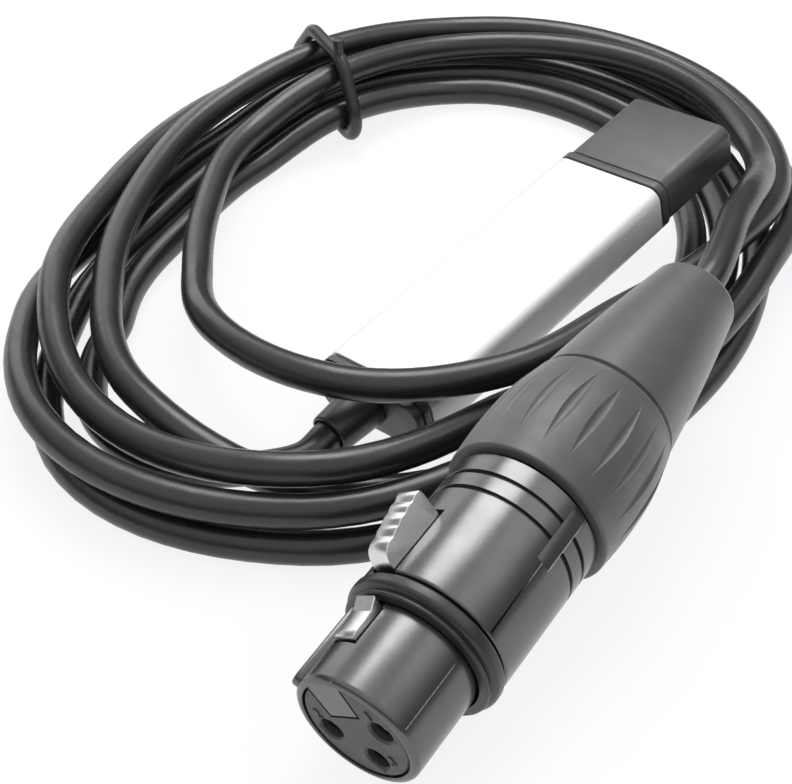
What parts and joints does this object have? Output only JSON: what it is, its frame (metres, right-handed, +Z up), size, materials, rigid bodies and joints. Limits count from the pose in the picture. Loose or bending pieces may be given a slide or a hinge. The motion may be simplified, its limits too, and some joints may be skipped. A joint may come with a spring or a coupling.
{
  "type": "usb dmx interface",
  "caption": "USB stage-lighting interface: a black three-contact socket connector and a metal-cased USB stick on one coiled, tied cable.",
  "frame": {"origin": "on the bench under the middle of the box round the connector and the stick", "axes": "+Y along the connector towards its boot and along the stick towards its cap, +Z up"},
  "size_m": [0.1193, 0.1432, 0.0249],
  "materials": {
    "shell_black": "semi-gloss black coating on zinc",
    "grip_black": "fine-textured moulded plastic",
    "rubber_black": "matt rubber",
    "insert_black": "moulded contact carrier",
    "nickel": "bright nickel",
    "spring_steel": "plain steel",
    "contact_gold": "gold-plated",
    "cord_black": "glossy PVC jacket",
    "case_aluminium": "fine satin anodised",
    "cap_black": "satin moulded plastic",
    "plug_steel": "nickel-plated steel",
    "plug_white": "moulded carrier",
    "board_green": "solder mask",
    "chip_black": "moulded package",
    "ceramic_tan": "ceramic",
    "wire_red": "insulated conductor"
  },
  "bodies": {
    "interface": {"connector_shell": "shell_black", "contact_insert": "insert_black", "contact_1": "nickel", "contact_2": "nickel", "contact_3": "nickel", "connector_conductor_1": "wire_red", "connector_conductor_2": "wire_red", "connector_conductor_3": "wire_red", "latch_pin": "spring_steel", "latch_spring": "spring_steel", "sealing_ring": "rubber_black", "grip_sleeve": "grip_black", "cable_chuck": "insert_black", "rubber_boot": "rubber_black", "cable_end_in_connector": "cord_black", "metal_case": "case_aluminium", "front_bezel": "cap_black", "rear_end_cap": "cap_black", "strain_relief": "rubber_black", "usb_plug_shell": "plug_steel", "usb_contact_block": "plug_white", "usb_contact_1": "contact_gold", "usb_contact_2": "contact_gold", "usb_contact_3": "contact_gold", "usb_contact_4": "contact_gold", "circuit_board": "board_green", "usb_controller": "chip_black", "line_driver": "chip_black", "board_capacitor_1": "ceramic_tan", "board_capacitor_2": "ceramic_tan", "board_wire_1": "wire_red", "board_wire_2": "wire_red", "board_wire_3": "wire_red", "cable_end_in_stick": "cord_black", "cable_coil": "cord_black", "cable_tie": "rubber_black", "cable_from_connector": "cord_black", "cable_to_stick": "cord_black"},
    "latch": {"latch_lever": "nickel"},
    "cap": {"usb_cap": "cap_black"}
  },
  "joints": [
    {"name": "latch_press", "type": "hinge", "parent": "interface", "child": "latch", "pos_m": [0.01281, -0.03048, 0.01649], "axis": [0.8209, 0.0383, 0.5698], "range_deg": [0, 5.5], "stiffness_Nm_per_rad": 0.05, "springref_deg": -2.86},
    {"name": "cap_pull", "type": "slide", "parent": "interface", "child": "cap", "axis": [0, 0.9869, 0.1616], "range_m": [0, 0.016]}
  ]
}
